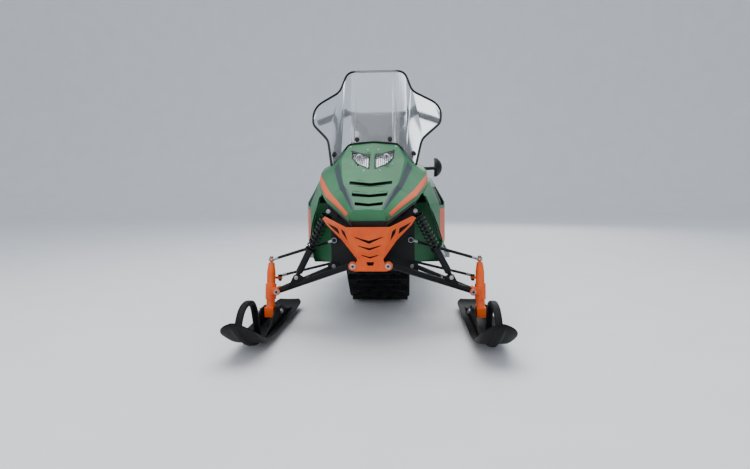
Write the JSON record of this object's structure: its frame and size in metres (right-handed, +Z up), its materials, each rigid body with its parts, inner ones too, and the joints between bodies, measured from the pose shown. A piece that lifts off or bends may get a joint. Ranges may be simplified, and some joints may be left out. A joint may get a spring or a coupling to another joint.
{
  "type": "snowmobile",
  "caption": "Compact two-up snowmobile with faceted hood, tall clear windshield, folded front bumper, arm front suspension, steered skis and one rubber track.",
  "frame": {"origin": "on the ground under the middle of the machine's length and width", "axes": "+Z up, -Y forward, +X to the rider's left"},
  "size_m": [1.15, 2.5, 1.2745],
  "materials": {
    "green_plastic": "moulded, satin to gloss",
    "orange_paint": "powder coat",
    "black_paint": "semi-gloss paint",
    "black_plastic": "moulded, fine grain",
    "ski_plastic": "moulded polyethylene",
    "clear_screen": "clear polycarbonate",
    "rubber_edge": "extruded rubber",
    "track_rubber": "moulded rubber",
    "aluminium_sheet": "folded sheet",
    "bright_steel": "zinc plated",
    "lamp_lens": "clear lens",
    "tail_lens": "red lens",
    "seat_cover": "grained vinyl",
    "engine_casting": "cast block",
    "spring_paint": "dark coated spring"
  },
  "bodies": {
    "chassis": {"tunnel": "aluminium_sheet", "front_frame": "black_paint", "front_bumper": "orange_paint", "hood": "green_plastic", "nose_trim": "black_plastic", "headlamps": "lamp_lens", "console": "black_plastic", "side_panels": "green_plastic", "belly_pan": "black_plastic", "windshield": "clear_screen", "windshield_trim": "rubber_edge", "mirror": "black_plastic", "fuel_tank": "black_plastic", "seat": "seat_cover", "seat_back": "seat_cover", "back_frame": "black_paint", "running_boards": "aluminium_sheet", "rear_bumper": "black_paint", "hitch": "black_paint", "tail_lamp": "tail_lens", "snow_flap": "rubber_edge", "track": "track_rubber", "slide_rails": "aluminium_sheet", "idler_wheels": "black_plastic", "skid_arms": "black_paint", "drive_axle": "bright_steel", "engine": "engine_casting", "exhaust": "bright_steel", "lower_arms": "black_paint", "upper_rods": "black_paint", "shock_bodies": "black_paint", "shock_springs": "spring_paint", "knuckles": "orange_paint"},
    "spindle_left": {"spindle_left": "orange_paint", "ski_left": "ski_plastic", "ski_runner_left": "bright_steel"},
    "spindle_right": {"spindle_right": "orange_paint", "ski_right": "ski_plastic", "ski_runner_right": "bright_steel"},
    "tie_rod_left": {"tie_rod_left": "black_paint"},
    "tie_rod_right": {"tie_rod_right": "black_paint"},
    "handlebar": {"handlebar": "black_paint", "grips": "rubber_edge", "bar_controls": "black_plastic", "bar_pad": "seat_cover"}
  },
  "joints": [
    {"name": "handlebar_steer", "type": "hinge", "parent": "chassis", "child": "handlebar", "pos_m": [0, -0.56, 0.4], "axis": [0, 0.6062, 0.7953], "range_deg": [-36, 36]},
    {"name": "ski_left_steer", "type": "hinge", "parent": "chassis", "child": "spindle_left", "pos_m": [0.5, -0.665, 0.092], "axis": [0, 0.2079, 0.9781], "range_deg": [-27, 27]},
    {"name": "ski_right_steer", "type": "hinge", "parent": "chassis", "child": "spindle_right", "pos_m": [-0.5, -0.665, 0.092], "axis": [0, 0.2079, 0.9781], "range_deg": [-27, 27]},
    {"name": "tie_rod_left_pivot", "type": "hinge", "parent": "spindle_left", "child": "tie_rod_left", "pos_m": [0.476, -0.547, 0.22997], "axis": [0, 0.2079, 0.9781], "range_deg": [-29.74, 29.74]},
    {"name": "tie_rod_right_pivot", "type": "hinge", "parent": "spindle_right", "child": "tie_rod_right", "pos_m": [-0.476, -0.547, 0.22997], "axis": [0, 0.2079, 0.9781], "range_deg": [-29.74, 29.74]}
  ],
  "couplings": [
    {"joint": "ski_left_steer", "follows": "handlebar_steer", "ratio": 0.75},
    {"joint": "ski_right_steer", "follows": "handlebar_steer", "ratio": 0.75},
    {"joint": "tie_rod_left_pivot", "follows": "handlebar_steer", "ratio": -0.826},
    {"joint": "tie_rod_right_pivot", "follows": "handlebar_steer", "ratio": -0.826}
  ]
}
